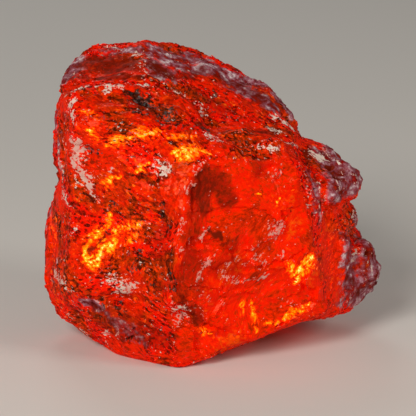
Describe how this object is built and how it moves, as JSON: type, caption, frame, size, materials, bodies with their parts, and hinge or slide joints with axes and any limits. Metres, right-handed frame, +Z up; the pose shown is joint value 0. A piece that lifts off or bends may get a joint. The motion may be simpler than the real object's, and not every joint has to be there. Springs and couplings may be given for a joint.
{
  "type": "sphalerite crystal",
  "caption": "Rough, fractured lump of translucent red-orange gem sphalerite, in one piece, resting on a flat break below.",
  "frame": {"origin": "middle of the stone's outline at the level of the flat break it rests on", "axes": "+X to the stone's right as pictured, along its longest side; +Y away from the camera; +Z up"},
  "size_m": [0.032, 0.0248, 0.0275],
  "materials": {
    "sphalerite": "glassy to resinous broken surfaces of red-orange zinc blende with paler worn edges"
  },
  "bodies": {
    "root": {"sphalerite_crystal": "sphalerite"}
  },
  "joints": []
}
